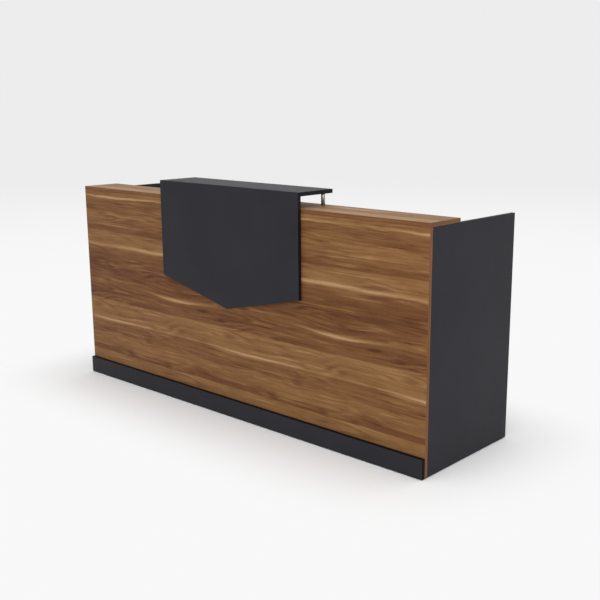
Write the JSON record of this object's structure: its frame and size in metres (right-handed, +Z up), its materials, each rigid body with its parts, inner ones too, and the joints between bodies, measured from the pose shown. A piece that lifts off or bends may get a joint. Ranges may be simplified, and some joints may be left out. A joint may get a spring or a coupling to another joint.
{
  "type": "reception desk",
  "caption": "Straight reception desk: walnut front and counter, charcoal ends and plinth, raised transaction shelf with a pointed hanging front, worktop and drawer bank behind.",
  "frame": {"origin": "on the floor, at the middle of the footprint", "axes": "+X to the right as a visitor faces the desk, +Y to the rear where the receptionist sits, +Z up"},
  "size_m": [2.3, 0.6482, 1.122],
  "materials": {
    "walnut_board": "walnut decor on faced board, satin, plank-like bands along the length",
    "charcoal_board": "charcoal faced board, fine-textured satin",
    "polished_steel": "polished round steel",
    "zinc_steel": "zinc-plated pressed steel",
    "drawer_grey": "light grey faced board, matte",
    "black_plastic": "moulded, fine texture"
  },
  "bodies": {
    "desk": {"front_panel": "walnut_board", "left_end_panel": "charcoal_board", "right_end_panel": "charcoal_board", "counter_cap": "walnut_board", "plinth": "charcoal_board", "riser_front": "charcoal_board", "riser_top": "charcoal_board", "riser_post_left": "polished_steel", "riser_post_right": "polished_steel", "riser_bolt_left": "zinc_steel", "riser_bolt_right": "zinc_steel", "worktop": "walnut_board", "divider_left": "charcoal_board", "divider_centre": "charcoal_board", "divider_right": "charcoal_board", "support_panel": "charcoal_board", "bracket_front_left": "zinc_steel", "bracket_front_right": "zinc_steel", "bracket_support": "zinc_steel", "bracket_end_front": "zinc_steel", "bracket_end_rear": "zinc_steel", "port_liner_left": "black_plastic", "port_liner_right": "black_plastic", "pedestal_side": "charcoal_board", "pedestal_base": "charcoal_board", "pedestal_back": "charcoal_board", "pedestal_rail_front": "charcoal_board", "pedestal_rail_rear": "charcoal_board", "runner_channel_upper_left": "zinc_steel", "runner_channel_upper_right": "zinc_steel", "runner_channel_middle_left": "zinc_steel", "runner_channel_middle_right": "zinc_steel", "runner_channel_lower_left": "zinc_steel", "runner_channel_lower_right": "zinc_steel", "glide_left_front": "black_plastic", "glide_left_rear": "black_plastic", "glide_pedestal_front": "black_plastic", "glide_pedestal_rear": "black_plastic", "glide_support_front": "black_plastic", "glide_support_rear": "black_plastic", "glide_right_front": "black_plastic", "glide_right_rear": "black_plastic"},
    "upper_drawer": {"drawer_front_upper": "walnut_board", "drawer_box_upper": "drawer_grey", "drawer_handle_upper": "polished_steel", "runner_slide_upper_left": "zinc_steel", "runner_slide_upper_right": "zinc_steel"},
    "middle_drawer": {"drawer_front_middle": "walnut_board", "drawer_box_middle": "drawer_grey", "drawer_handle_middle": "polished_steel", "runner_slide_middle_left": "zinc_steel", "runner_slide_middle_right": "zinc_steel"},
    "lower_drawer": {"drawer_front_lower": "walnut_board", "drawer_box_lower": "drawer_grey", "drawer_handle_lower": "polished_steel", "runner_slide_lower_left": "zinc_steel", "runner_slide_lower_right": "zinc_steel"},
    "left_lid": {"port_lid_left": "black_plastic"},
    "right_lid": {"port_lid_right": "black_plastic"}
  },
  "joints": [
    {"name": "upper_drawer_slide", "type": "slide", "parent": "desk", "child": "upper_drawer", "axis": [0, 1, 0], "range_m": [0, 0.34]},
    {"name": "middle_drawer_slide", "type": "slide", "parent": "desk", "child": "middle_drawer", "axis": [0, 1, 0], "range_m": [0, 0.34]},
    {"name": "lower_drawer_slide", "type": "slide", "parent": "desk", "child": "lower_drawer", "axis": [0, 1, 0], "range_m": [0, 0.34]},
    {"name": "left_lid_turn", "type": "hinge", "parent": "desk", "child": "left_lid", "pos_m": [-0.269, -0.01885, 0.741], "axis": [0, 0, 1], "continuous": true},
    {"name": "right_lid_turn", "type": "hinge", "parent": "desk", "child": "right_lid", "pos_m": [0.671, -0.01885, 0.741], "axis": [0, 0, 1], "continuous": true}
  ]
}
